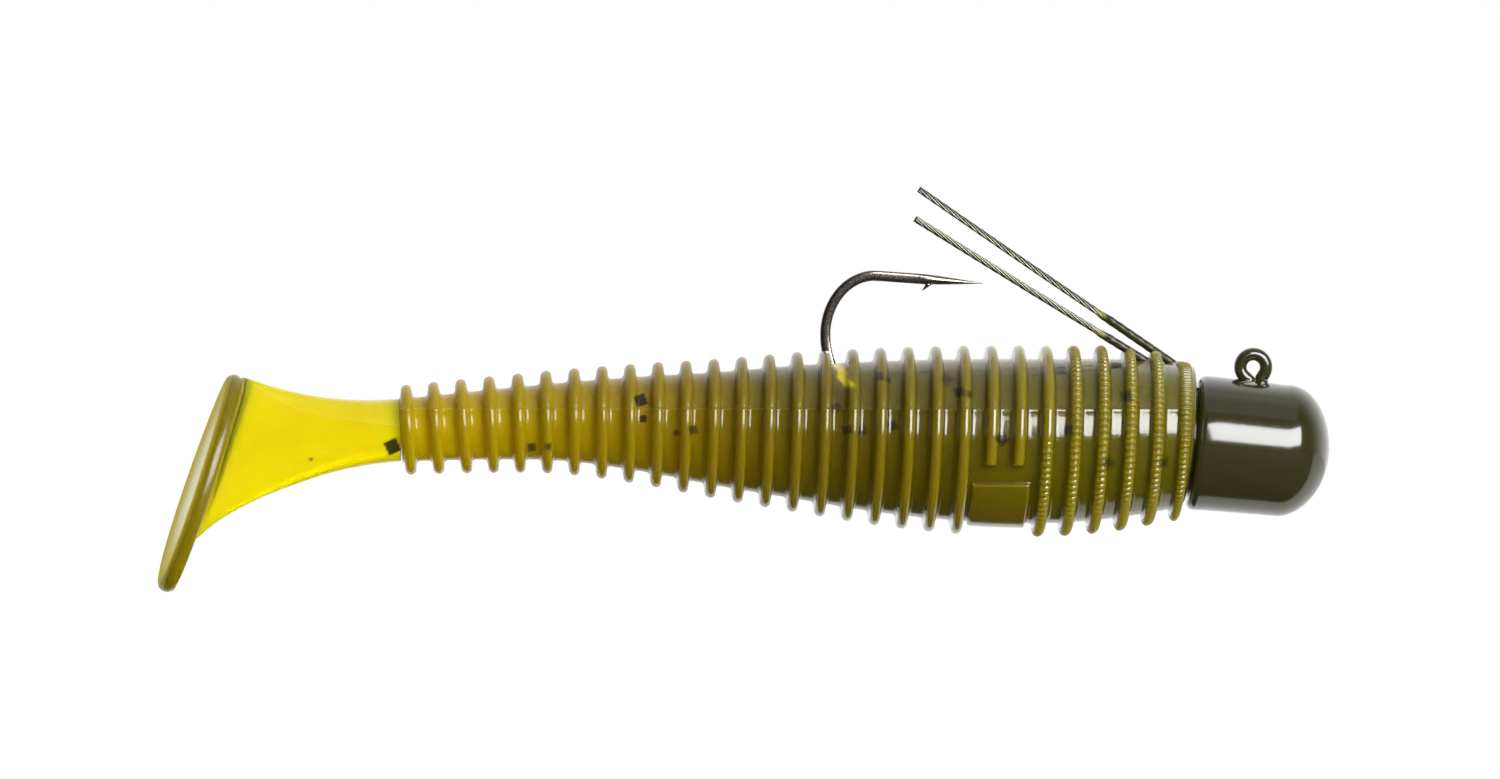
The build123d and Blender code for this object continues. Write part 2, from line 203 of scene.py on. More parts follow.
def lathe_points(rings):
    """Points of rings, shape (rings, around, 3), and the two end centres."""
    return np.vstack([rings.reshape(-1, 3), rings[0].mean(0), rings[-1].mean(0)])


def tube_rings(path, radius, around, up=(0, 1, 0)):
    """Rings of a tube along path. radius is one number or one for each point, or (n, 2) half widths."""
    path = np.asarray(path, float)
    tangent = np.gradient(path, axis=0)
    tangent /= np.linalg.norm(tangent, axis=1)[:, None]
    side = np.cross(tangent, np.asarray(up, float))
    side /= np.linalg.norm(side, axis=1)[:, None]
    other = np.cross(side, tangent)
    sizes = np.asarray(radius, float)
    if sizes.ndim < 2:
        sizes = np.broadcast_to(sizes.reshape(-1, 1), (len(path), 1))
    wide, deep = sizes[:, 0], sizes[:, -1]
    turn = np.linspace(0, 2 * math.pi, around, endpoint=False)
    return (
        path[:, None, :]
        + (wide[:, None] * np.cos(turn))[:, :, None] * side[:, None, :]
        + (deep[:, None] * np.sin(turn))[:, :, None] * other[:, None, :]
    )


# --- Soft body ---
def rib_profile():
    """Offsets along the body and heights of one rib, from the middle of a gap to the middle of the next."""
    rim = [
        (-RIB_RIM * math.cos(a), RIB_HEIGHT - RIB_RIM + RIB_RIM * math.sin(a))
        for a in np.linspace(0, math.pi, 7)
    ]
    wall = [(-RIB_ROOT + 0.03, 0.16), (-RIB_RIM - 0.03, 0.38)]
    foot = [(-0.62, 0.012), (-0.54, 0.055)]
    gap = [(-u, 0.0) for u in (1.015, 0.88, 0.74)]
    left = gap + foot + wall
    return np.array(left + rim + [(-u, h) for u, h in reversed(left[1:])])


def body_rows(first_rib, last_rib):
    """x, rib height, rib number of each ring, for ribs first_rib to last_rib."""
    profile = rib_profile()
    rows = [
        (RIB_FIRST_X + k * RIB_PITCH + u, h, k)
        for k in range(first_rib, last_rib + 1)
        for u, h in profile
    ]
    return np.array(rows)


def shape_body(rows):
    """Points of the ribbed body at the given rows, and the attributes that its material reads."""
    x0, height, rib = rows[:, 0], rows[:, 1], rows[:, 2]
    radius, centre_z = curve_through(CORE, x0).T
    lean = np.tan(np.radians(np.interp(x0, LEAN[:, 0], LEAN[:, 1])))
    turn = np.linspace(0, 2 * math.pi, AROUND, endpoint=False)
    cos, sin = np.cos(turn)[None, :], np.sin(turn)[None, :]
    z0 = centre_z[:, None] + radius[:, None] * sin
    low = np.array([LOW_RIBS.get(int(k), (1.0, 0.0)) for k in rib])
    rise = height[:, None] * (low[:, :1] - low[:, 1:] * sin)

    # The two short ribs fade out above the panel.
    short = np.isin(rib, SHORT_RIBS)[:, None]
    rise = np.where(short, rise * smooth(SHORT_RIB_END_Z - 0.5, SHORT_RIB_END_Z, z0), rise)
    # The panel stands on the belly between them.
    along = smooth(0, PANEL_EDGE, np.minimum(x0 - PANEL_X[0], PANEL_X[1] - x0))[:, None]
    panel = along * smooth(0, PANEL_EDGE, PANEL_TOP_Z - z0)
    rise = np.maximum(rise, PANEL_HEIGHT * panel)
    # Cross grooves cut the front ribs' rims into beads.
    half_beaded = (rib == BEADED_FROM - 1)[:, None] * smooth(*HALF_BEADED_Z, z0)
    beaded = np.maximum((rib >= BEADED_FROM)[:, None], half_beaded)
    groove = 1 - abs(np.sin(BEADS * turn / 2))[None, :] ** 0.7
    crest = smooth(0.35, 0.75, height)[:, None]
    rise = rise - BEAD_DEPTH * crest * groove * beaded
    # The lower mould half was a touch larger, and the seam stands up as a fine line.
    surface_z = centre_z[:, None] + (radius[:, None] + rise) * sin
    below = smooth(0.06, -0.06, surface_z - PARTING_Z)
    seam = np.exp(-((surface_z - PARTING_Z) / SEAM_HALF_WIDTH) ** 2)
    rise = rise + LOWER_HALF_STEP * below + SEAM_HEIGHT * seam
    # Plastic is pushed up between the ribs where each guard comes out of the back.
    for exit_x, exit_y in GUARD_EXITS.values():
        away_y = exit_y / 2 - radius[:, None] * cos
        swell = np.exp(-((x0[:, None] - exit_x) ** 2 + away_y**2) / SWELL_REACH**2)
        rise = rise + SWELL_HEIGHT * swell * (sin > 0) * (height < 0.4)[:, None]

    reach = radius[:, None] + rise
    points = np.stack([
        x0[:, None] + lean[:, None] * reach * sin,
        reach * cos * np.ones_like(x0)[:, None],
        centre_z[:, None] + reach * sin,
    ], axis=-1)
    return points, {
        # "rib" sets how much painted light and shade the rib crests get, less on the panel.
        "rib": np.clip(rise / RIB_HEIGHT, 0, 1.1) * (1 - 0.7 * panel),
        "upper": 1 - below,
    }


def flake_shade(a, b, half, turn, soft):
    """How dark a square flake makes points that are a and b away from its centre."""
    c, s = math.cos(turn), math.sin(turn)
    reach = np.maximum(abs(c * a + s * b), abs(c * b - s * a)) / half
    return (1 - 0.4 * soft) * smooth(1 + soft, 1 - soft, reach)


def flakes_and_bend_shade(points):
    """How dark each point is: flakes that the camera sees and others elsewhere, and the painted shade of
    the hook's bend.
    """
    mask = np.zeros(len(points))
    near = points[:, 1] < 0
    for x, z, half, turn, soft in FLAKES:
        dx, dz = points[:, 0] - x, points[:, 2] - z
        shade = flake_shade(dx, dz, half * FLAKE_SPREAD, math.radians(turn), soft)
        mask = np.maximum(mask, near * shade)
    # Painted shade: the hook's bend, which shows dimly through the plastic under its way out.
    bend_x, bend_z, half_width, half_height = BEND_SHADOW
    above = points[:, 2] - bend_z
    bend = ((points[:, 0] - bend_x + 0.25 * above) / half_width) ** 2 + (above / half_height) ** 2
    mask = np.maximum(mask, BEND_SHADE * np.exp(-bend))
    draw = np.random.default_rng(HIDDEN_FLAKE_SEED)
    for _ in range(HIDDEN_FLAKES):
        x = draw.uniform(*HIDDEN_FLAKE_X)
        radius, centre_z = curve_through(CORE, x)[0]
        angle = draw.uniform(math.radians(-80), math.radians(75))
        half, turn, soft = draw.uniform(0.24, 0.42), draw.uniform(0, math.pi), draw.uniform(0.1, 0.6)
        centre = np.array((x, radius * math.cos(angle), centre_z + radius * math.sin(angle)))
        away = points - centre
        up = np.array((0, -math.sin(angle), math.cos(angle)))
        outward = np.array((0, math.cos(angle), math.sin(angle)))
        close = abs(away @ outward) < HIDDEN_FLAKE_DEPTH
        mask = np.maximum(mask, close * flake_shade(away[:, 0], away @ up, half, turn, soft))
    return mask


def make_soft_body():
    """The body from the head to the split, closed at both ends."""
    first = next(k for k in range(RIB_COUNT) if RIB_FIRST_X + k * RIB_PITCH > SPLIT_X)
    rows = body_rows(first, RIB_COUNT - 1)
    rows = rows[(rows[:, 0] >= SPLIT_X) & (rows[:, 0] < FRONT_FACE_X - FRONT_CLEAR)]
    ends = np.array([(SPLIT_X, 0, first), (FRONT_FACE_X - FRONT_GAP, 0, RIB_COUNT - 1)])
    rows = np.vstack([ends[:1], rows, ends[1:]])
    points, attributes = shape_body(rows)
    # A rounded shoulder, then the flat front face
    rim = points[-1]
    centre = rim.mean(0)
    shoulder = []
    for share, forward in SHOULDER:
        shoulder.append(centre + (rim - centre) * share + np.array((forward, 0, 0)))
    points = np.concatenate([points, np.array(shoulder)])
    everything = lathe_points(points)
    extra = len(shoulder) * AROUND + 2
    values = {key: np.concatenate([v.reshape(-1), np.zeros(extra)]) for key, v in attributes.items()}
    # "flake" also carries the painted shade of the hook's bend.
    values["flake"] = flakes_and_bend_shade(everything)
    values["torn"] = torn_mask(everything)
    return mesh_piece("soft_body", everything, ring_faces(len(points), AROUND), values)


def torn_mask(points):
    """The bright stretched plastic beside the hook, where it comes out of the back."""
    x, z, half_width, half_height = TORN
    slanted = points[:, 0] - x + 0.35 * points[:, 2]
    ragged = slanted + 0.10 * np.sin(6.0 * points[:, 2])
    spot = smooth(half_width, 0.15, abs(ragged)) * smooth(half_height, 0.6, abs(points[:, 2] - z))
    return spot * (points[:, 1] < 0)


def paddle_frame():
    """The paddle's own directions: up its face, across it and out of its front."""
    up = np.array((math.sin(PADDLE_LEAN), 0, math.cos(PADDLE_LEAN)))
    flat = np.array((0, 1.0, 0)) * math.cos(PADDLE_YAW)
    side = flat + np.cross(up, (0, 1.0, 0)) * math.sin(PADDLE_YAW)
    side /= np.linalg.norm(side)
    forward = np.cross(side, up)
    return up, side, forward


def squared(values, power):
    """Cosines or sines of a circle, pushed out towards a rounded square."""
    return np.sign(values) * abs(values) ** power


def stalk_rings(cos, sin):
    """Rings from a round one to a tall fin with flat sides and a rounded top, each with its painted shade.
    """
    rings = []
    shares = np.linspace(0, 1, STALK_RINGS)
    for share, row in zip(shares, curve_through(STALK, shares)):
        top_x, top_z, bottom_x, bottom_z, width = row
        high = squared(sin, 1 - 0.15 * share)
        x = (top_x + bottom_x) / 2 + (top_x - bottom_x) / 2 * high
        y = width / 2 * squared(cos, 1 - 0.42 * share)
        z = (top_z + bottom_z) / 2 + (top_z - bottom_z) / 2 * high
        rings.append((np.stack([x, y, z], axis=-1), 0.1 if share == 1 else 0.0))
    return rings


def paddle_rings(cos, sin):
    """Rings from the fin's root over the paddle's front, rim and cupped back, each with its painted shade.
    """
    up, side, forward = paddle_frame()

    def on_paddle(across, along, depth):
        out = np.multiply.outer(depth, forward)
        return PADDLE_CENTRE + across[:, None] * side + along[:, None] * up + out

    rings = []
    front = PADDLE_HALF_THICKNESS
    blade_width = PADDLE_HALF_WIDTH * (1 - PADDLE_TAPER * sin) * cos
    blade_height = PADDLE_HALF_HEIGHT * sin
    # The root is a fillet that is smaller at its lower end.
    low = np.clip(-sin, 0, 1) ** 2
    root_width = ROOT_HALF_WIDTH * squared(cos, 0.58)
    root_height = ROOT_MIDDLE + ROOT_HALF_HEIGHT * squared(sin, 0.85) - ROOT_DROP * low
    spread = np.where(sin < 0, ROOT_SPREAD_BELOW, ROOT_SPREAD_ABOVE) * sin
    for share, dark in ROOT_RINGS:
        across = root_width * (1 + ROOT_FLARE * share**2)
        depth = front + ROOT_FILLET * (1 - share) ** 1.8 * (1 - 0.6 * low)
        rings.append((on_paddle(across, root_height + spread * share**2, depth), dark))
    # The front of the blade, from the root out to the rim
    foot_width, foot_height = root_width * (1 + ROOT_FLARE), root_height + spread
    for share, sink, dark in BLADE_RINGS:
        across = foot_width * (1 - share) + blade_width * share
        along = foot_height * (1 - share) + blade_height * share
        rings.append((on_paddle(across, along, front - sink), dark))
    # The rounded rim, then the cup in the back
    for degrees, dark in RIM_RINGS:
        angle = math.radians(degrees)
        inset = 1 - 0.075 * (1 - math.cos(angle))
        rings.append((on_paddle(blade_width * inset, blade_height * inset, front * math.sin(angle)), dark))
    for share in CUP_RINGS:
        cup = -front + PADDLE_CUP * (1 - share**2)
        dark = 0.1 if share == CUP_RINGS[0] else 0.0
        rings.append((on_paddle(blade_width * share, blade_height * share, cup), dark))
    return rings


def make_tail():
    """The stalk and the paddle in one skin. The rim and the paddle's front get painted shade, darker than
    the thin fin.

    "upper" marks the stalk's bevelled top, and "matt" the paddle's cupped back.
    """
    turn = np.linspace(0, 2 * math.pi, AROUND, endpoint=False)
    cos, sin = np.cos(turn), np.sin(turn)
    rings = (stalk_rings(cos, sin) + paddle_rings(cos, sin))[::-1]
    points = lathe_points(np.array([ring for ring, dark in rings]))
    x, z = points[:, 0], points[:, 2]
    facet = np.interp(x, FACET_X, FACET_Z)
    behind = (points - PADDLE_CENTRE) @ paddle_frame()[2]
    values = {
        "flake": flakes_and_bend_shade(points),
        "upper": smooth(-0.10, 0.10, z - facet) * smooth(-75.2, -74.2, x),
        "matt": smooth(-0.35, -0.55, behind) * smooth(-73.0, -75.0, x),
        "rim": np.concatenate([np.repeat([dark for ring, dark in rings], AROUND), [0, 0]]),
    }
    return mesh_piece("soft_tail", points, ring_faces(len(rings), AROUND), values)


# --- Head, with the neck and the keeper that the soft body hides ---
HEAD_REAR = np.array((-4.55, 0.0, -5.56))
HEAD_RADIUS, HEAD_EDGE, NECK_RADIUS = 4.95, 0.60, 4.0
HEAD_TILT, DOME_TILT = 5.5, 3.0  # degrees, nose down
DOME_X, DOME_LENGTH, DOME_RADIUS = 2.10, 3.52, 4.86
DOME_Z, NOSE_Z = -6.16, -5.95
HEAD_AROUND = 128
KEEPER_Z = -3.90
KEEPER = [  # x and radius
    (-4.9, 1.3), (-8.1, 1.3), (-8.2, 2.05), (-10.6, 1.3),
    (-11.9, 1.3), (-12.0, 2.05), (-14.4, 1.3), (-14.5, 0.9),
]
NECK = [  # x, height, radius and tilt
    (-5.10, -5.3, 3.6, 0), (-5.00, -5.45, 3.95, 0), (-4.80, -5.5, NECK_RADIUS, 2),
    (HEAD_REAR[0] - 0.04, -5.55, NECK_RADIUS - 0.1, 5), (HEAD_REAR[0], HEAD_REAR[2], NECK_RADIUS + 0.1, 5),
]
# How far paint creeps up the foot of the eye, and how far out from the eye it does along x and along y
PAINT_FILLET, FILLET_X, FILLET_Y = 0.05, 1.15, 0.62


def head_rows():
    """x, height, radius and tilt of each ring, from the keeper's end to the nose."""
    rows = [(x, KEEPER_Z, radius, 0) for x, radius in reversed(KEEPER)] + NECK
    for angle in np.radians(np.linspace(0, 90, 8)):
        x = HEAD_REAR[0] + HEAD_EDGE * (1 - math.cos(angle))
        radius = HEAD_RADIUS - HEAD_EDGE * (1 - math.sin(angle))
        rows.append((x, HEAD_REAR[2] - 0.04, radius, HEAD_TILT))
    barrel_x = HEAD_REAR[0] + HEAD_EDGE
    for share in np.linspace(0.12, 1, 14):
        x = barrel_x + (DOME_X - barrel_x) * share
        z = HEAD_REAR[2] + (DOME_Z - HEAD_REAR[2]) * share
        radius = HEAD_RADIUS + (DOME_RADIUS - HEAD_RADIUS) * share
        rows.append((x, z, radius, HEAD_TILT + (DOME_TILT - HEAD_TILT) * share))
    for angle in np.radians(np.linspace(6, 88, 18)):
        x = DOME_X + DOME_LENGTH * math.sin(angle)
        z = DOME_Z + (NOSE_Z - DOME_Z) * math.sin(angle)
        rows.append((x, z, DOME_RADIUS * math.cos(angle), DOME_TILT * math.cos(angle)))
    return rows


def make_head():
    """Each ring leans by its own tilt, and paint creeps up the foot of the eye."""
    turn = np.linspace(0, 2 * math.pi, HEAD_AROUND, endpoint=False)
    cos, sin = np.cos(turn), np.sin(turn)
    rings = []
    for x, z, radius, tilt in head_rows():
        lean = math.tan(math.radians(tilt))
        rings.append(np.stack([x + lean * radius * sin, radius * cos, z + radius * sin], axis=-1))
    points = lathe_points(np.array(rings))
    foot = np.exp(-((abs(points[:, 0]) / FILLET_X) ** 4 + (points[:, 1] / FILLET_Y) ** 2))
    points[:, 2] += PAINT_FILLET * foot * (points[:, 2] > -3)
    return mesh_piece("jig_head", points, ring_faces(len(rings), HEAD_AROUND))


# --- Line-tie eye and hook ---
EYE_RADIUS, EYE_WIRE = 0.95, 0.475  # of the loop, and of its painted wire
EYE_AROUND, HOOK_AROUND = 28, 32
SHANK_Z, STEM_BEND = -3.90, 1.20
HOOK_REAR_X, LOWER_RADIUS = -31.65, 6.26
BEND_Z, UPPER_X_RADIUS, UPPER_Z_RADIUS = 2.36, 3.65, 4.38
POINT_TIP = np.array((-20.0, 6.17))
POINT_STEPS = 34
TAPER_X = -24.4
TIP_SHARE = 0.035  # the tip's thickness as a share of the wire's
FORGED_FROM_X, FORGED_TO_X = -22.0, -25.5
WIRE = 0.40  # radius
# The barb's foot on the hook, from its upper to its lower end, and its tip
BARB_UPPER, BARB_LOWER = np.array((-23.72, 6.16)), np.array((-24.20, 6.18))
BARB_TIP = np.array((-24.52, 5.60))
BARB_HALF_WIDTH = 0.20


def make_eye():
    """The wire comes up out of the head, goes round, and goes back in beside itself."""
    ends = np.radians((-50.0, 250.0))
    loop = [(EYE_RADIUS * math.cos(a), 0.0, EYE_RADIUS * math.sin(a)) for a in np.linspace(*ends, 48)]
    right = [(loop[0][0] + 0.02, 0.0, z) for z in (-2.1, -1.6, -1.15)]
    left = [(loop[-1][0] - 0.02, 0.0, z) for z in (-1.3, -1.65, -2.1)]
    rings = tube_rings(np.array(right + loop + left), EYE_WIRE, EYE_AROUND)
    return mesh_piece("line_tie_eye", lathe_points(rings), ring_faces(len(rings), EYE_AROUND))


def hook_path():
    """The hook's centreline from the stem under the eye to the point, as (x, z)."""
    path = [(0.0, z) for z in np.linspace(-1.9, SHANK_Z + STEM_BEND, 5)]
    for a in np.radians(np.linspace(0, -90, 12))[1:]:
        path.append((-STEM_BEND + STEM_BEND * math.cos(a), SHANK_Z + STEM_BEND + STEM_BEND * math.sin(a)))
    bend_x = HOOK_REAR_X + LOWER_RADIUS
    path += [(x, SHANK_Z) for x in np.linspace(-2.2, bend_x, 24)]
    for a in np.radians(np.linspace(-90, -180, 26))[1:]:
        path.append((bend_x + LOWER_RADIUS * math.cos(a), BEND_Z + (BEND_Z - SHANK_Z) * math.sin(a)))
    top = np.array((HOOK_REAR_X + UPPER_X_RADIUS, BEND_Z + UPPER_Z_RADIUS))
    for a in np.radians(np.linspace(180, 92, 26))[1:]:
        path.append((top[0] + UPPER_X_RADIUS * math.cos(a), BEND_Z + UPPER_Z_RADIUS * math.sin(a)))
    path += [tuple(top + (POINT_TIP - top) * share) for share in np.linspace(0.04, 1, POINT_STEPS)]
    return np.array(path)


def barb_mesh(base):
    """A sliver raised by one cut on the inner side, pointing back. Its points are numbered from base."""
    points, faces = [], []
    shares = (0.0, 0.35, 0.7, 1.0)
    for share in shares:
        half = BARB_HALF_WIDTH * (1 - 0.9 * share)
        upper = BARB_UPPER + (BARB_TIP - BARB_UPPER) * share + (0, -0.03 * math.sin(3 * share))
        lower = BARB_LOWER + (BARB_TIP - BARB_LOWER) * share
        points += [(upper[0], -half, upper[1]), (upper[0], half, upper[1])]
        points += [(lower[0], half, lower[1]), (lower[0], -half, lower[1])]
    for step in range(len(shares) - 1):
        a, b = base + 4 * step, base + 4 * (step + 1)
        faces += [(a + k, b + k, b + (k + 1) % 4, a + (k + 1) % 4) for k in range(4)]
    last = base + 4 * (len(shares) - 1)
    faces += [(base, base + 1, base + 2, base + 3), (last, last + 3, last + 2, last + 1)]
    return points, faces


def make_hook():
    """Round wire, forged square round the bend, with a needle point and a cut barb."""
    flat_path = hook_path()
    path = np.stack([flat_path[:, 0], np.zeros(len(flat_path)), flat_path[:, 1]], axis=-1)
    point_share = np.zeros(len(path))
    past = np.arange(len(path)) > len(path) - POINT_STEPS
    point_share[past] = np.clip((path[past, 0] - TAPER_X) / (POINT_TIP[0] - TAPER_X), 0, 1)
    thin = (1 - point_share**1.25) * (1 - TIP_SHARE) + TIP_SHARE
    forged = smooth(FORGED_FROM_X, FORGED_TO_X, path[:, 0]) * (1 - point_share)
    in_plane = WIRE * thin * (1 + 0.04 * forged)
    sideways = WIRE * thin * (1 - 0.16 * forged)
    rings = tube_rings(path, np.stack([in_plane, sideways], axis=-1), HOOK_AROUND)
    # Forging squares the section: points move out towards a rounded square.
    turn = np.linspace(0, 2 * math.pi, HOOK_AROUND, endpoint=False)
    square = (abs(np.cos(turn)) ** 4 + abs(np.sin(turn)) ** 4) ** -0.25
    scale = 1 + (square[None, :] * 0.93 - 1) * forged[:, None]
    rings = path[:, None, :] + (rings - path[:, None, :]) * scale[:, :, None]
    points = lathe_points(rings)
    barb_points, barb_faces = barb_mesh(len(points))
    faces = ring_faces(len(rings), HOOK_AROUND) + barb_faces
    return mesh_piece("hook_wire", np.vstack([points, barb_points]), faces)


# --- Guards ---
# A strand's radius, its distance from the wire's middle, and the length of one turn of the lay
STRAND, LAY, LAY_PITCH = 0.084, 0.155, 5.0
STRAND_START, STRAND_SAG, STRAND_AROUND = -1.4, 0.03, 10
SLEEVE, SLEEVE_AROUND = 0.31, 30
PAINT_SINK = 0.03  # how far the thinnest paint sinks between the strands
GUARD_LENGTHS = {"left": 16.5, "right": 16.2}
GUARD_RISE = {"left": 34.5, "right": 31.2}  # degrees
GUARD_LIFT = {"left": 0.27, "right": 0.0}  # how much higher a bend point is than the CAD's joint
GUARD_SPLAY = 6.0  # degrees
GUARD_SIDE = {"left": 1, "right": -1}
# Where each guard leaves the soft body: x along the back, and how far to its side
GUARD_EXITS = {"left": (-5.85, 1.4), "right": (-8.0, -1.9)}


def guard_line(name):
    """The bend point where the sleeve ends, and the direction to the tip."""
    bend = np.array(JOINTS[f"guard_{name}_flex"]["pos_m"]) / MM + (0, 0, GUARD_LIFT[name])
    rise, splay = math.radians(GUARD_RISE[name]), math.radians(GUARD_SPLAY)
    direction = np.array((
        -math.cos(rise) * math.cos(splay),
        GUARD_SIDE[name] * math.cos(rise) * math.sin(splay),
        math.sin(rise),
    ))
    return bend, direction


def make_strands(name):
    """Seven strands, six laid round one, from inside the sleeve to the cut end."""
    bend, direction = guard_line(name)
    along = np.linspace(STRAND_START, GUARD_LENGTHS[name], 120)
    side = np.cross(direction, (0, 1.0, 0))
    side /= np.linalg.norm(side)
    other = np.cross(direction, side)
    sag = STRAND_SAG * np.sin(np.linspace(0, math.pi, len(along)))
    spine = bend + along[:, None] * direction - sag[:, None] * side * np.sign(side[2])
    points, faces = [], []
    for k in range(7):
        angle = 2 * math.pi * (along / LAY_PITCH + k / 6)
        lay = 0 if k == 6 else LAY
        path = spine + lay * (np.cos(angle)[:, None] * side + np.sin(angle)[:, None] * other)
        rings = tube_rings(path, STRAND, STRAND_AROUND, up=other)
        faces += ring_faces(len(rings), STRAND_AROUND, sum(len(p) for p in points))
        points.append(lathe_points(rings))
    return mesh_piece(f"guard_{name}_wire", np.vstack(points), faces)


def make_sleeve(name):
    """Paint dipped over the wire: full at the head, thin and uneven where it ends."""
    bend, direction = guard_line(name)
    back = (HEAD_REAR[0] + 0.2 - bend[0]) / -direction[0]
    along = np.concatenate([np.linspace(-back, -0.9, 40), np.linspace(-0.85, 0.75, 30)])
    path = bend + along[:, None] * direction
    rings = tube_rings(path, SLEEVE, SLEEVE_AROUND)
    turn = np.linspace(0, 2 * math.pi, SLEEVE_AROUND, endpoint=False)
    wire = LAY + STRAND
    ragged = 0.35 * np.cos(turn - 1.2) + 0.16 * np.cos(3 * turn + 0.7)
    cover = smooth(0.62, -0.55, along[:, None] - ragged[None, :])
    lay_ripple = 0.012 * np.cos(6 * (turn[None, :] - 2 * math.pi * along[:, None] / LAY_PITCH))
    radius = (wire - PAINT_SINK) + (SLEEVE - wire + PAINT_SINK) * cover + lay_ripple
    rings = path[:, None, :] + (rings - path[:, None, :]) * (radius / SLEEVE)[:, :, None]
    thin = np.concatenate([(1 - cover).reshape(-1), [0, 1]])
    faces = ring_faces(len(rings), SLEEVE_AROUND)
    return mesh_piece(f"guard_{name}_paint", lathe_points(rings), faces, {"thin": thin})


# --- Materials ---
# The first is a painted reflection on the soft plastic's upper side; the two clouds are random mottling.
PAINTED_REFLECTION_COLOUR, CLOUD_COLOUR, PAINT_CLOUD_COLOUR = "9a9450", "dcc880", "3a3818"
# The first is painted shade for the tail's rim and the paddle's front. The last is the flakes' colour, and
# also that of the painted shade of the hook's bend.
RIM_SHADE_COLOUR, TORN_COLOUR, FLAKE_AND_BEND_SHADE_COLOUR = "8a7c0c", "ecd60c", "15120a"


def grey(value):
    return value, value, value, 1


# How glossy the soft plastic is along its length, and how the dipped paint changes colour as it thins
GLOSS = [(-66.0, grey(0.25)), (-40.0, grey(0.45)), (-20.0, grey(1.0))]
THIN_PAINT = [(0.0, grey(0)), (0.35, grey(0)), (0.9, grey(1))]


def linear(hex_colour):
    """An sRGB hex colour as linear RGBA."""
    channels = [int(hex_colour[i:i + 2], 16) / 255 for i in (0, 2, 4)]
    return tuple(c / 12.92 if c <= 0.04045 else ((c + 0.055) / 1.055) ** 2.4 for c in channels) + (1.0,)


class Nodes:
    """A material's node tree, with short ways to add and join nodes."""

    def __init__(self, name):
        self.material = bpy.data.materials.new(name)
        self.material.use_nodes = True
        self.tree = self.material.node_tree
        self.bsdf = self.tree.nodes["Principled BSDF"]

    def add(self, kind, **settings):
        node = self.tree.nodes.new(kind)
        for key, value in settings.items():
            setattr(node, key, value)
        return node

    def join(self, source, target):
        self.tree.links.new(source, target)

    def attribute(self, name):
        return self.add("ShaderNodeAttribute", attribute_name=name)

    def feed(self, sockets, values):
        """Join each value to its socket where it is a node's output, and set the socket to it otherwise."""
        for socket, value in zip(sockets, values):
            if hasattr(value, "is_output"):
                self.join(value, socket)
            else:
                socket.default_value = value

    def maths(self, operation, a, b):
        node = self.add("ShaderNodeMath", operation=operation)
        self.feed(node.inputs, (a, b))
        return node.outputs[0]

    def ramp(self, source, stops, low, high):
        """A colour ramp over source, which runs from low to high."""
        ranged = self.add("ShaderNodeMapRange")
        ranged.inputs["From Min"].default_value = low
        ranged.inputs["From Max"].default_value = high
        self.join(source, ranged.inputs["Value"])
        node = self.add("ShaderNodeValToRGB")
        elements = node.color_ramp.elements
        while len(elements) < len(stops):
            elements.new(0.5)
        for element, (at, colour) in zip(elements, stops):
            element.position = (at - low) / (high - low)
        for element, (at, colour) in zip(elements, stops):
            element.color = colour if isinstance(colour, tuple) else linear(colour)
        self.join(ranged.outputs[0], node.inputs[0])
        return node.outputs["Color"]

    def mix(self, share, a, b, blend="MIX"):
        node = self.add("ShaderNodeMix", data_type="RGBA", blend_type=blend)
        self.feed((node.inputs[0], node.inputs[6], node.inputs[7]), (share, a, b))
        return node.outputs[2]

    def noise(self, vector, scale, detail=3.0):
        node = self.add("ShaderNodeTexNoise")
        node.inputs["Scale"].default_value = scale
        node.inputs["Detail"].default_value = detail
        self.join(vector, node.inputs["Vector"])
        return node.outputs[0]

    def bump(self, height, strength, distance):
        node = self.add("ShaderNodeBump")
        node.inputs["Strength"].default_value = strength
        node.inputs["Distance"].default_value = distance * MM
        self.join(height, node.inputs["Height"])
        self.join(node.outputs[0], self.bsdf.inputs["Normal"])

    def set(self, **values):
        for key, value in values.items():
            self.bsdf.inputs[key.replace("_", " ")].default_value = value


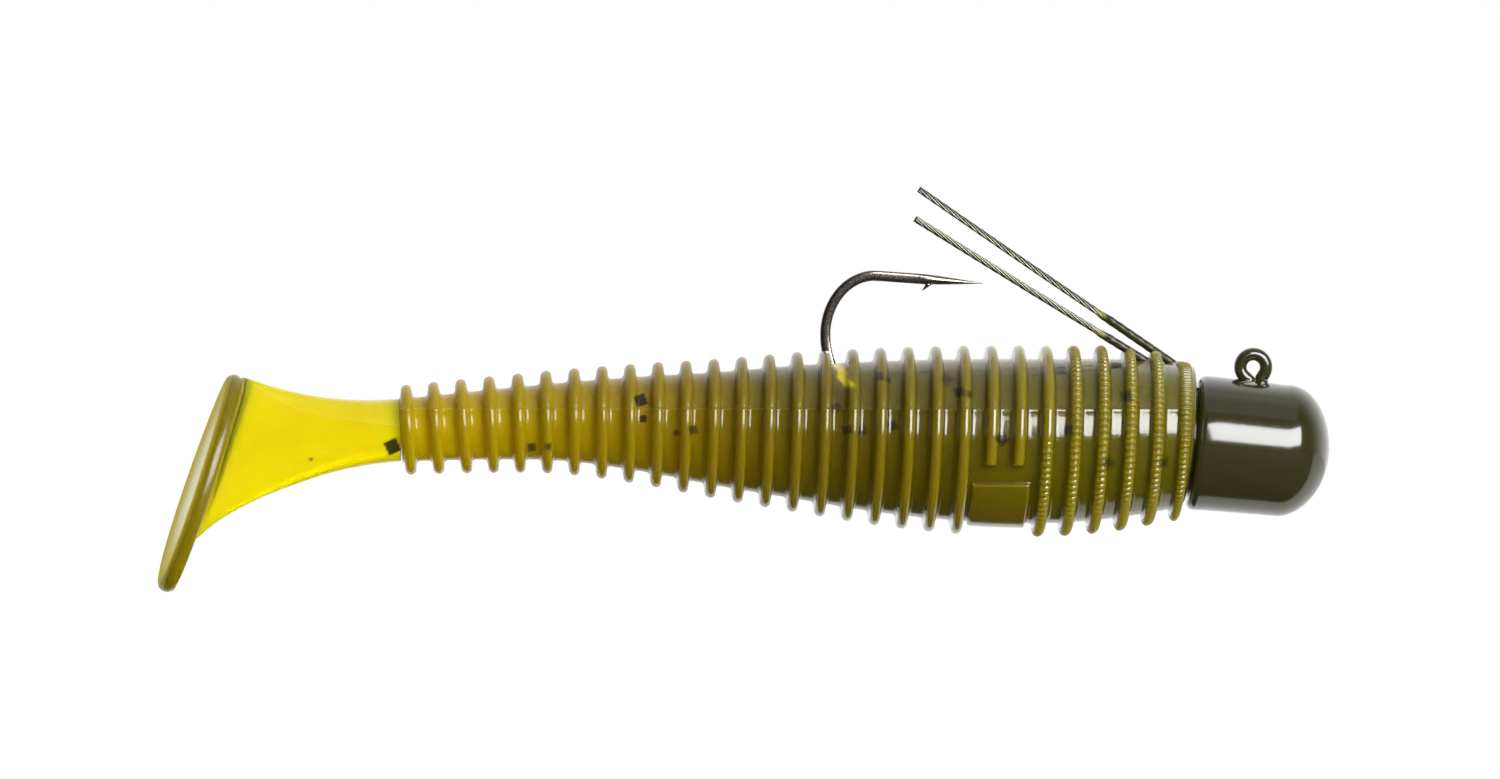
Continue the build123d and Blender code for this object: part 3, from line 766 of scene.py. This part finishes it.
def soft_plastic(name, stops, dye, density, clearness):
    """Cloudy soft plastic: light spreads inside it, and some comes straight through where it is thin."""
    n = Nodes(name)
    rest = n.attribute("rest").outputs["Vector"]
    place = n.add("ShaderNodeSeparateXYZ")
    n.join(rest, place.inputs[0])
    along = n.ramp(place.outputs["X"], stops, stops[0][0], stops[-1][0])
    upper = n.attribute("upper").outputs["Fac"]
    ahead = n.ramp(place.outputs["X"], GLOSS, GLOSS[0][0], GLOSS[-1][0])
    # Painted reflection: above the parting line and on the stalk's bevelled top, the colour is painted
    # paler and greyer, more where the plastic is glossier.
    painted_reflection = n.maths("MULTIPLY", upper, n.maths("MULTIPLY", ahead, 0.13))
    with_reflection = n.mix(painted_reflection, along, linear(PAINTED_REFLECTION_COLOUR))
    cloud = n.maths("MULTIPLY", n.noise(rest, 0.35, 3.0), 0.30)
    mottled = n.mix(cloud, with_reflection, n.mix(1.0, with_reflection, linear(CLOUD_COLOUR), "MULTIPLY"))
    # Painted light and shade on the rib crests: lighter than the core towards the head and darker towards
    # the tail, though both are one plastic.
    crest_light_and_shade = n.ramp(place.outputs["X"], RIB_CREST_LIGHT_AND_SHADE, RIB_CREST_LIGHT_AND_SHADE[0][0], RIB_CREST_LIGHT_AND_SHADE[-1][0])
    ribbed = n.mix(n.maths("MULTIPLY", n.attribute("rib").outputs["Fac"], 0.85), mottled, crest_light_and_shade)
    # Painted shade on the tail's rim and the paddle's front.
    rim_shaded = n.mix(n.attribute("rim").outputs["Fac"], ribbed, linear(RIM_SHADE_COLOUR))
    torn = n.mix(n.attribute("torn").outputs["Fac"], rim_shaded, linear(TORN_COLOUR))
    # The flakes and the painted shade of the hook's bend darken the colour here.
    flake = n.attribute("flake").outputs["Fac"]
    n.join(n.mix(flake, torn, linear(FLAKE_AND_BEND_SHADE_COLOUR)), n.bsdf.inputs["Base Color"])
    matt = n.attribute("matt").outputs["Fac"]
    rough = n.maths("ADD", n.maths("MULTIPLY", upper, 0.16), n.maths("MULTIPLY", matt, 0.45))
    softer = n.maths("MULTIPLY", n.maths("SUBTRACT", 1.0, ahead), 0.12)
    n.join(n.maths("ADD", n.maths("ADD", rough, softer), 0.15), n.bsdf.inputs["Roughness"])
    coat = n.maths("MULTIPLY", n.maths("SUBTRACT", 1.0, matt), n.maths("MULTIPLY", ahead, 0.9))
    n.join(coat, n.bsdf.inputs["Coat Weight"])
    clear = n.maths("SUBTRACT", 1.0, n.maths("MAXIMUM", flake, n.attribute("torn").outputs["Fac"]))
    n.join(n.maths("MULTIPLY", clear, clearness), n.bsdf.inputs["Transmission Weight"])
    n.join(clear, n.bsdf.inputs["Subsurface Weight"])
    stretch = n.add("ShaderNodeVectorMath", operation="MULTIPLY")
    stretch.inputs[1].default_value = (1.2, 9.0, 9.0)
    n.join(rest, stretch.inputs[0])
    n.bump(n.maths("ADD", n.noise(rest, 1.6, 3.0), n.noise(stretch.outputs[0], 1.0, 3.0)), 0.22, 0.05)
    n.set(Subsurface_Radius=(1.0, 0.85, 0.15), Subsurface_Scale=0.0022, IOR=1.45)
    n.set(Coat_Roughness=0.06)
    n.bsdf.subsurface_method = "RANDOM_WALK"
    absorb = n.add("ShaderNodeVolumeAbsorption")
    absorb.inputs["Color"].default_value = (*dye, 1.0)
    absorb.inputs["Density"].default_value = density
    n.join(absorb.outputs[0], n.tree.nodes["Material Output"].inputs["Volume"])
    return n.material


def head_paint(name, colour, edge_colour=None, coat=1.0, roughness=0.16):
    """Enamel with a faint orange peel. Where "thin" is high, it turns to edge_colour."""
    n = Nodes(name)
    rest = n.attribute("rest").outputs["Vector"]
    cloud = n.noise(rest, 0.8, 4.0)
    base = n.mix(n.maths("MULTIPLY", cloud, 0.5), linear(colour), linear(PAINT_CLOUD_COLOUR))
    if edge_colour:
        thin = n.ramp(n.attribute("thin").outputs["Fac"], THIN_PAINT, 0, 1)
        base = n.mix(thin, base, linear(edge_colour))
    n.join(base, n.bsdf.inputs["Base Color"])
    peel = n.noise(rest, 1.6, 2.0)
    n.bump(peel, 0.12, 0.06)
    n.set(Roughness=roughness, Coat_Weight=coat, Coat_Roughness=0.11, IOR=1.5)
    return n.material


def metal(name, dark, light, roughness, scratch, relief):
    """Stained metal. scratch says how fine its grain is, and relief how strongly it stands up."""
    n = Nodes(name)
    rest = n.attribute("rest").outputs["Vector"]
    stain = n.noise(rest, 1.1, 5.0)
    n.join(n.mix(stain, linear(dark), linear(light)), n.bsdf.inputs["Base Color"])
    fine = n.noise(rest, scratch, 6.0)
    n.join(n.maths("ADD", n.maths("MULTIPLY", fine, 0.16), roughness - 0.08), n.bsdf.inputs["Roughness"])
    n.bump(fine, relief, 0.02)
    n.set(Metallic=1.0)
    return n.material


def dress(piece, material):
    """Give a piece its one material."""
    piece.data.materials.clear()
    piece.data.materials.append(material)


# --- Build the pieces ---
BODY_COLOURS = [
    (-63.0, "d8bf00"), (-57.3, "ceb203"), (-53.0, "c0a600"), (-49.0, "b89c03"), (-43.0, "a18705"),
    (-37.0, "827002"), (-31.0, "706002"), (-25.0, "685902"), (-16.0, "6c6004"), (-4.8, "6a6109"),
]
# Painted light and shade of the rib crests, along the body.
RIB_CREST_LIGHT_AND_SHADE = [
    (-63.0, "9c8506"), (-50.0, "887608"), (-38.0, "7a6a0c"), (-30.0, "74670e"), (-25.0, "7c6e0c"),
    (-14.0, "8a7d12"), (-4.8, "867a16"),
]
TAIL_COLOURS = [(-81.0, "f4e81c"), (-74.0, "f6e808"), (-62.9, "f6e606")]
body_plastic = soft_plastic("body_plastic", BODY_COLOURS, (0.76, 0.73, 0.0), 800.0, 0.20)
tail_plastic = soft_plastic("tail_plastic", TAIL_COLOURS, (0.93, 0.91, 0.0), 500.0, 0.32)
body = make_soft_body()
tail = make_tail()
dress(body, body_plastic)
dress(tail, tail_plastic)
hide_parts("body_front", "body_flex", "body_rear", "glitter_front", "glitter_rear")
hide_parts("stalk_flex", "tail_fin", "tail_paddle")
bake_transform(body)
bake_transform(tail)

paint = head_paint("head_paint", "2b2914")
head = make_head()
eye = make_eye()
for piece in (head, eye):
    dress(piece, paint)
    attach(piece, "head")
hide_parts("head_casting")

hook = make_hook()
dress(hook, metal("hook_steel", "8a8179", "b5aca4", 0.16, 6.0, 0.05))
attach(hook, "head")
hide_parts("hook")
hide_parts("hook")

wire_steel = metal("guard_steel", "6c6d61", "959688", 0.32, 1.0, 0.0)
dip_paint = head_paint("dip_paint", "29270f", "8f8a18", coat=0.15, roughness=0.38)
for name in GUARD_SIDE:
    wires = make_strands(name)
    dress(wires, wire_steel)
    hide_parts(f"guard_{name}_core", f"guard_{name}_strands")
    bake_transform(wires)
    sleeve = make_sleeve(name)
    dress(sleeve, dip_paint)
    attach(sleeve, "head")
    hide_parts(f"guard_{name}_sleeve", f"guard_{name}_root")


# --- Floor, lights and camera. Only the first two are in millimetres. ---
VIEW_CENTRE = np.array((-37.2, 0.0, -1.66))
CAMERA_PLACE = np.array((-55.6, -560.0, -1.66))
LENS = 182.4
FLOOR_PLACE, FLAG_Z = (-0.037, 0, -0.060), -0.055
# The room's wall brightens along Y from the first of these to the second. It starts at this brightness.
ROOM_FRONT_Y, ROOM_BACK_Y, ROOM_DIM = -0.25, 0.75, 0.03


def make_floor():
    """A round card under the lure, nearly white."""
    bpy.ops.mesh.primitive_circle_add(vertices=96, radius=0.45, fill_type="NGON", location=FLOOR_PLACE)
    floor = bpy.context.object
    floor.name = "studio_floor"
    n = Nodes("floor_card")
    place = n.add("ShaderNodeTexCoord").outputs["Object"]
    n.join(n.mix(n.noise(place, 9.0, 2.0), linear("dadad8"), linear("dfdfdd")), n.bsdf.inputs["Base Color"])
    n.set(Roughness=0.7)
    floor.data.materials.append(n.material)


def make_flag(name, low, high):
    """A black card just above the floor, which only reflections see, as a studio's flag does."""
    (x0, y0), (x1, y1) = low, high
    bpy.ops.mesh.primitive_plane_add(size=1, location=((x0 + x1) / 2, (y0 + y1) / 2, FLAG_Z))
    flag = bpy.context.object
    flag.name = name
    flag.scale = (x1 - x0, y1 - y0, 1)
    n = Nodes(name)
    n.set(Roughness=1.0)
    n.bsdf.inputs["Base Color"].default_value = (0.01, 0.01, 0.01, 1)
    flag.data.materials.append(n.material)
    flag.visible_camera = flag.visible_diffuse = flag.visible_shadow = flag.visible_transmission = False
    flag.visible_volume_scatter = False


def softbox(name, place, target, size, power, glossy=True):
    """A rectangular light that the camera doesn't see, nor reflections unless it is glossy."""
    light = bpy.data.lights.new(name, "AREA")
    light.shape = "RECTANGLE"
    light.size, light.size_y = size
    light.energy = power
    lamp = bpy.data.objects.new(name, light)
    lamp.location = place
    lamp.visible_camera = False
    lamp.visible_glossy = glossy
    lamp.rotation_euler = (Vector(target) - Vector(place)).to_track_quat("-Z", "Y").to_euler()
    bpy.context.scene.collection.objects.link(lamp)


def make_world():
    """A room that looks white to the camera, and whose light comes mostly from behind the lure."""
    world = bpy.data.worlds.new("studio")
    bpy.context.scene.world = world
    world.use_nodes = True
    tree = world.node_tree
    background = tree.nodes["Background"]
    direction = tree.nodes.new("ShaderNodeTexCoord").outputs["Generated"]
    parts = tree.nodes.new("ShaderNodeSeparateXYZ")
    tree.links.new(direction, parts.inputs[0])
    ranged = tree.nodes.new("ShaderNodeMapRange")
    ranged.interpolation_type = "SMOOTHSTEP"
    ranged.inputs["From Min"].default_value = ROOM_FRONT_Y
    ranged.inputs["From Max"].default_value = ROOM_BACK_Y
    ranged.inputs["To Min"].default_value = ROOM_DIM
    tree.links.new(parts.outputs["Y"], ranged.inputs["Value"])
    seen = tree.nodes.new("ShaderNodeLightPath").outputs["Is Camera Ray"]
    strength = tree.nodes.new("ShaderNodeMath")
    strength.operation = "MAXIMUM"
    tree.links.new(ranged.outputs[0], strength.inputs[0])
    tree.links.new(seen, strength.inputs[1])
    tree.links.new(strength.outputs[0], background.inputs["Strength"])
    background.inputs["Color"].default_value = (1, 1, 1, 1)


def make_camera():
    """A long lens far off, so that the lure is seen almost without perspective."""
    camera = bpy.data.cameras.new("camera")
    camera.lens = LENS
    camera.sensor_width = 36
    camera.clip_start, camera.clip_end = 0.01, 10
    holder = bpy.data.objects.new("camera", camera)
    holder.location = CAMERA_PLACE * MM
    looking = Vector(VIEW_CENTRE - CAMERA_PLACE)
    holder.rotation_euler = looking.to_track_quat("-Z", "Y").to_euler()
    bpy.context.scene.collection.objects.link(holder)
    bpy.context.scene.camera = holder


make_floor()
make_flag("flag", (-0.64, -0.512), (0.56, 0.008))
make_flag("flag_behind", (-0.64, 0.008), (-0.006, 0.060))
make_world()
softbox("key", (0.200, -0.42, 0.174), (-0.005, 0, -0.005), (0.40, 0.27), 3.5)
softbox("top", (-0.03, -0.10, 0.42), (-0.03, 0, 0), (0.50, 0.35), 0.15)
softbox("back", (-0.12, 0.36, 0.26), (-0.04, 0, -0.005), (0.40, 0.20), 0.9, glossy=False)
make_camera()
bpy.context.scene.view_settings.view_transform = "Standard"
